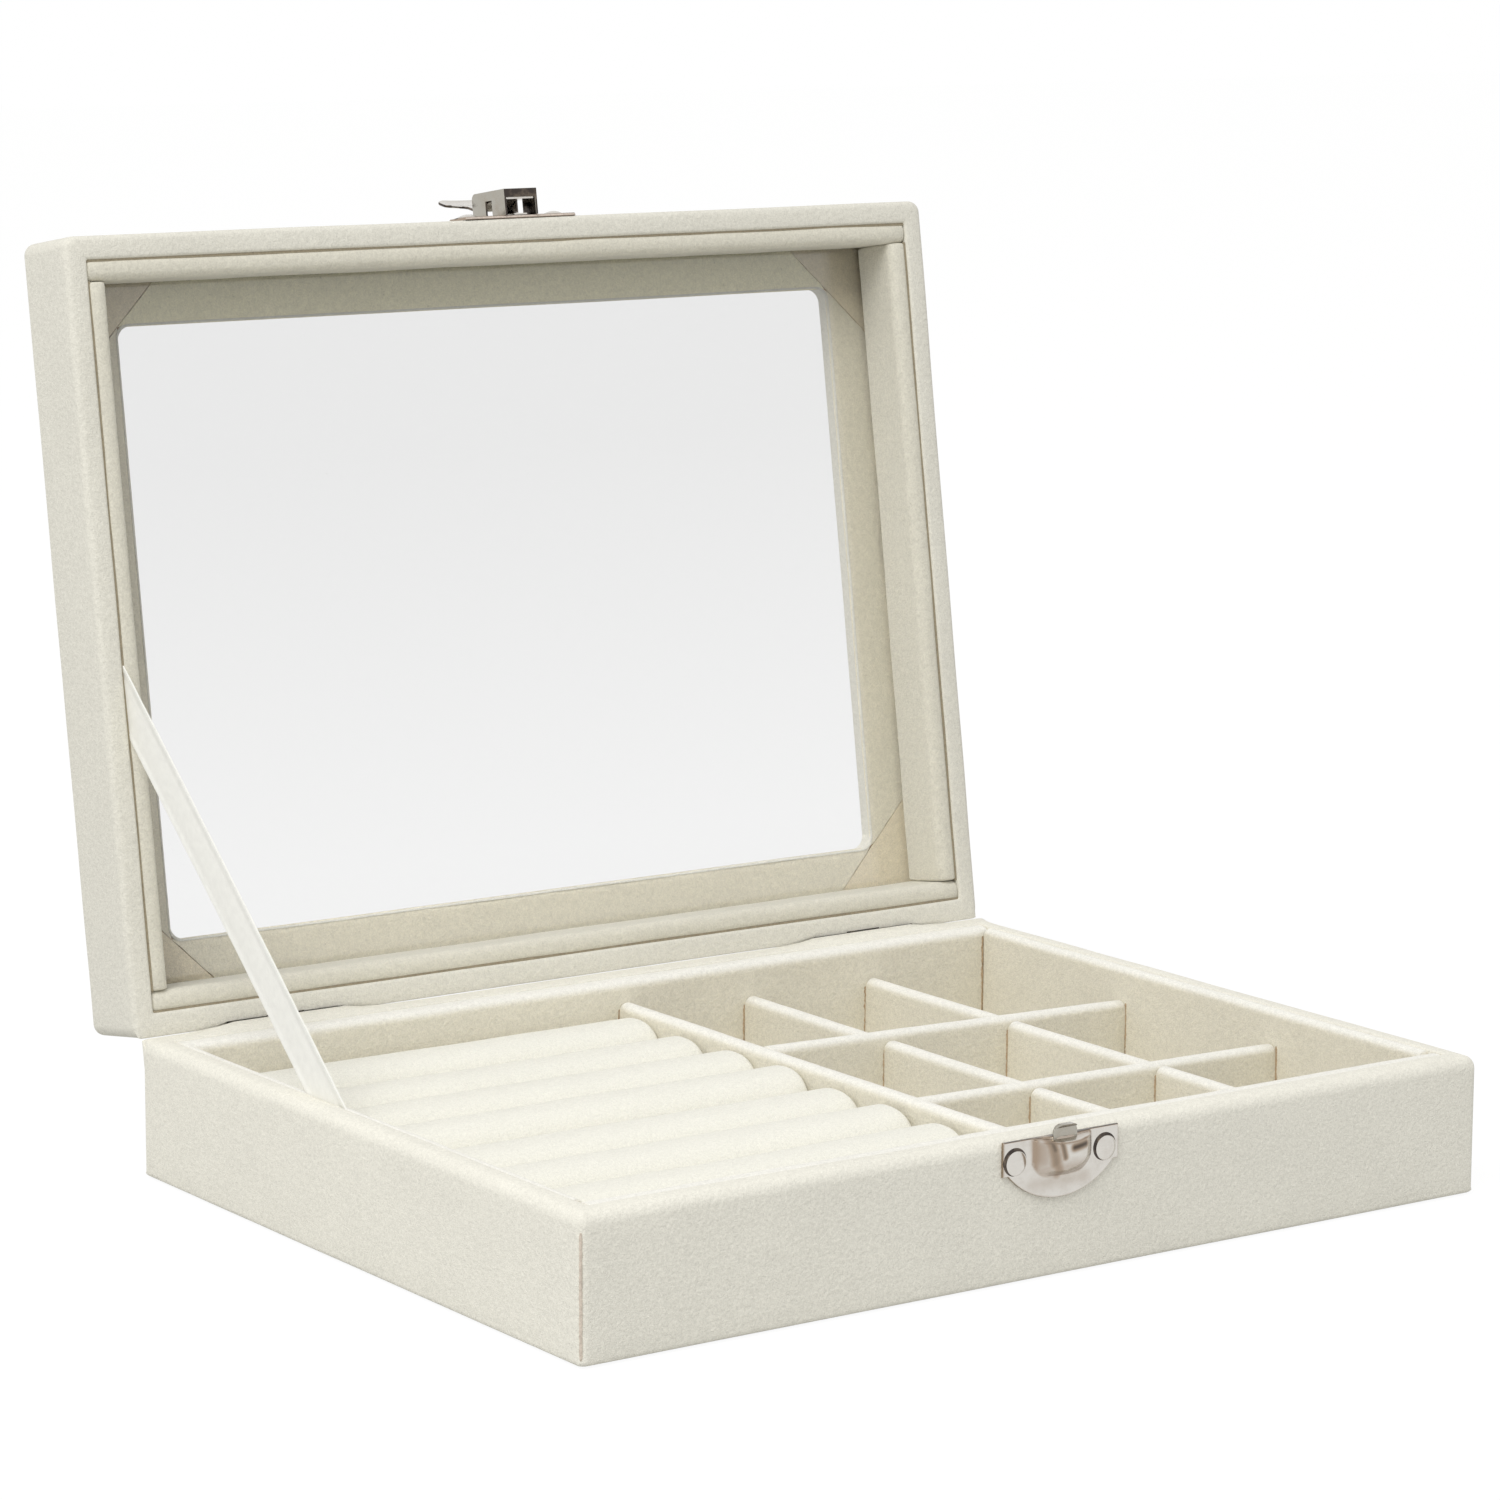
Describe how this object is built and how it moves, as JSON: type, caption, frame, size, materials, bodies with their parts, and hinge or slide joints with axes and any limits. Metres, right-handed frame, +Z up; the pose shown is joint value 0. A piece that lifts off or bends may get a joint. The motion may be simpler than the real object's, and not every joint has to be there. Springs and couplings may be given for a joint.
{
  "type": "ring display box",
  "caption": "Velvet-covered ring and jewellery display box: hinged glazed lid on a ribbon stay, padded ring rolls beside small compartments, and a press latch.",
  "frame": {"origin": "middle of the underside, on the surface that the box stands on", "axes": "+X along the width to the right, +Y along the depth to the hinges, +Z up. At rest the lid is open."},
  "size_m": [0.2012, 0.1989, 0.1817],
  "materials": {
    "velvet": "short grey-white pile, matt, with a soft sheen at grazing angles",
    "roll_velvet": "creamy short pile, matt",
    "ribbon": "woven satin ribbon with raised edges",
    "foam": "matt open foam",
    "fibreboard": "raw fibreboard, hidden under the velvet",
    "window_glass": "clear, polished",
    "plated_steel": "polished nickel plate",
    "hinge_steel": "dull plated steel"
  },
  "bodies": {
    "base": {"base_bottom_board": "fibreboard", "base_front_board": "fibreboard", "base_back_board": "fibreboard", "base_left_board": "fibreboard", "base_right_board": "fibreboard", "base_velvet_cover": "velvet", "base_underside_sheet": "velvet", "base_floor_card": "velvet", "base_front_lining": "velvet", "base_back_lining": "velvet", "base_left_lining": "velvet", "base_right_lining": "velvet", "main_divider": "velvet", "front_cross_divider": "velvet", "back_cross_divider": "velvet", "left_depth_divider": "velvet", "right_depth_divider": "velvet", "ring_roll_1": "roll_velvet", "ring_roll_2": "roll_velvet", "ring_roll_3": "roll_velvet", "ring_roll_4": "roll_velvet", "ring_roll_5": "roll_velvet", "ring_roll_6": "roll_velvet", "ring_roll_7": "roll_velvet", "ring_roll_8": "roll_velvet", "roll_foam_cores": "foam", "keeper_plate": "plated_steel", "keeper_rivets": "plated_steel", "left_hinge_base_leaf": "hinge_steel", "right_hinge_base_leaf": "hinge_steel", "hinge_pins": "hinge_steel", "base_leaf_nails": "hinge_steel", "stay_ribbon": "ribbon"},
    "lid": {"lid_front_board": "fibreboard", "lid_back_board": "fibreboard", "lid_left_board": "fibreboard", "lid_right_board": "fibreboard", "lid_window_board": "fibreboard", "lid_velvet_cover": "velvet", "lid_corner_patches": "velvet", "window_glass": "window_glass", "lid_front_lining": "velvet", "lid_back_lining": "velvet", "lid_left_lining": "velvet", "lid_right_lining": "velvet", "left_hinge_lid_leaf": "hinge_steel", "right_hinge_lid_leaf": "hinge_steel", "lid_leaf_nails": "hinge_steel", "latch_plate": "plated_steel", "latch_housing": "plated_steel", "latch_rivets": "plated_steel", "latch_spring": "plated_steel"},
    "latch_lever": {"latch_lever": "plated_steel"}
  },
  "joints": [
    {"name": "lid_hinge", "type": "hinge", "parent": "base", "child": "lid", "pos_m": [0, 0.0755, 0.0267], "axis": [1, 0, 0], "range_deg": [0, 98.7], "deforming": ["stay_ribbon"]},
    {"name": "latch_press", "type": "hinge", "parent": "lid", "child": "latch_lever", "pos_m": [0.0003, 0.10499, 0.17844], "axis": [-1, 0, 0], "range_deg": [0, 10], "stiffness_Nm_per_rad": 0.02, "springref_deg": -5.73, "deforming": ["latch_spring"]}
  ]
}
